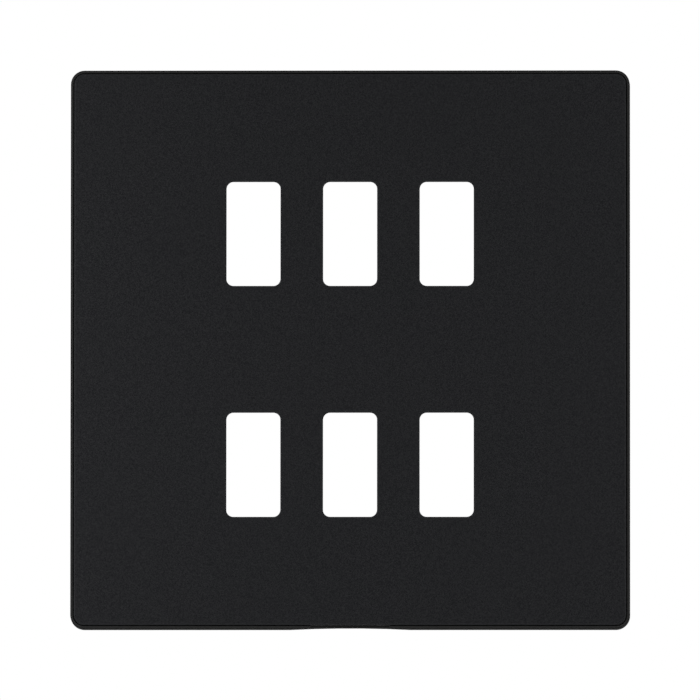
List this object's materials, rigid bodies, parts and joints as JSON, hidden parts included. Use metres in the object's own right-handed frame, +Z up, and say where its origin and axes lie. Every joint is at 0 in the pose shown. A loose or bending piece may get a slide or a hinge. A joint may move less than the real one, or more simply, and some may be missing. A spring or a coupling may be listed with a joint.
{
  "type": "grid switch plate",
  "caption": "Square clip-on wall plate with rounded openings for grid switch modules, on a moulded frame with a steel module grid and earth terminals behind it.",
  "frame": {"origin": "middle of the fixing slots, in the plane of the wall behind the plate", "axes": "+X to the right seen from the room, +Z up, +Y into the wall; the face looks along -Y"},
  "size_m": [0.146, 0.0169, 0.146],
  "materials": {
    "plate_paint": "matt bluish black paint with a very fine speckle",
    "frame_black": "plain black moulding, slightly glossier than the face",
    "zinc_sheet": "bright zinc plate",
    "screw_steel": "bright zinc plate",
    "terminal_brass": "plain machined brass"
  },
  "bodies": {
    "base": {"mounting_frame": "frame_black", "grid_yoke": "zinc_sheet", "frame_screws": "screw_steel", "earth_terminal_left": "terminal_brass", "earth_terminal_right": "terminal_brass", "terminal_screws": "screw_steel"},
    "cover": {"front_plate": "plate_paint"}
  },
  "joints": [
    {"name": "cover_pull", "type": "slide", "parent": "base", "child": "cover", "axis": [0, -1, 0], "range_m": [0, 0.02]}
  ]
}
